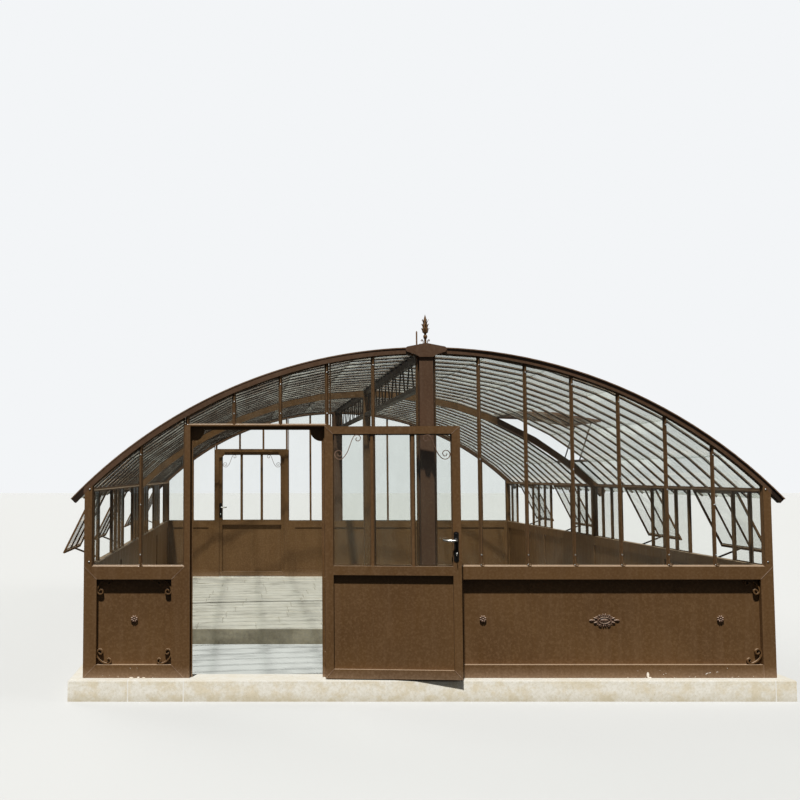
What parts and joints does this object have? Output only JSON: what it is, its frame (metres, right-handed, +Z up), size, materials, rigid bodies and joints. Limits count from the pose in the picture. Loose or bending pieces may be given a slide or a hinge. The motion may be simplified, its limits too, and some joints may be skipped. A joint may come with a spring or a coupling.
{
  "type": "glass greenhouse",
  "caption": "Steel-framed glass greenhouse with a curved barrel roof, panelled base walls on a concrete kerb, hinged gable doors, propped side windows and a roof vent",
  "frame": {"origin": "on the ground, midway between the side walls and midway between the gables", "axes": "+X to the right seen from the front, +Y along the house to the back gable, +Z up"},
  "size_m": [5.9384, 8.6779, 3.013],
  "materials": {
    "painted_steel": "brown gloss paint, weathered",
    "clear_glass": "clear horticultural glass",
    "roof_glass": "weathered horticultural glass",
    "kerb_concrete": "smooth pale concrete",
    "paving": "pale concrete slabs",
    "handle_metal": "worn steel"
  },
  "bodies": {
    "root": {"kerb_front": "kerb_concrete", "kerb_back": "kerb_concrete", "kerb_left": "kerb_concrete", "kerb_right": "kerb_concrete", "paved_floor": "paving", "front_base_left": "painted_steel", "front_base_right": "painted_steel", "back_base_left": "painted_steel", "back_base_right": "painted_steel", "side_base_left": "painted_steel", "side_base_right": "painted_steel", "corner_posts": "painted_steel", "front_centre_post": "painted_steel", "back_centre_post": "painted_steel", "mid_ridge_post": "painted_steel", "side_mid_posts": "painted_steel", "front_door_frame": "painted_steel", "back_door_frame": "painted_steel", "front_arch": "painted_steel", "back_arch": "painted_steel", "mid_rib": "painted_steel", "ridge_beam": "painted_steel", "ridge_cap": "painted_steel", "ridge_girder_front": "painted_steel", "ridge_girder_back": "painted_steel", "front_crest": "painted_steel", "back_crest": "painted_steel", "front_finial": "painted_steel", "back_finial": "painted_steel", "front_glazing_bars": "painted_steel", "back_glazing_bars": "painted_steel", "side_bars_left": "painted_steel", "side_bars_right": "painted_steel", "eave_plate_left": "painted_steel", "eave_plate_right": "painted_steel", "side_windows_left": "painted_steel", "side_windows_right": "painted_steel", "window_stays_left": "painted_steel", "window_stays_right": "painted_steel", "roof_bars_left": "painted_steel", "roof_bars_right": "painted_steel", "roof_vent_curb": "painted_steel", "roof_vent_flap": "painted_steel", "roof_vent_hinges": "painted_steel", "roof_vent_stays": "painted_steel", "front_glass": "clear_glass", "back_glass": "clear_glass", "side_glass_left": "clear_glass", "side_glass_right": "clear_glass", "window_glass_left": "clear_glass", "window_glass_right": "clear_glass", "roof_glass_left": "roof_glass", "roof_glass_right": "roof_glass"},
    "front_door": {"front_door_leaf": "painted_steel", "front_door_glass": "clear_glass", "front_door_handles": "handle_metal"},
    "back_door": {"back_door_leaf": "painted_steel", "back_door_glass": "clear_glass", "back_door_handles": "handle_metal"}
  },
  "joints": [
    {"name": "front_door_hinge", "type": "hinge", "parent": "root", "child": "front_door", "pos_m": [-0.8125, -4.209, 0.16], "axis": [0, 0, 1], "range_deg": [-176, 0]},
    {"name": "back_door_hinge", "type": "hinge", "parent": "root", "child": "back_door", "pos_m": [-0.8125, 4.209, 0.16], "axis": [0, 0, -1], "range_deg": [0, 176]}
  ]
}
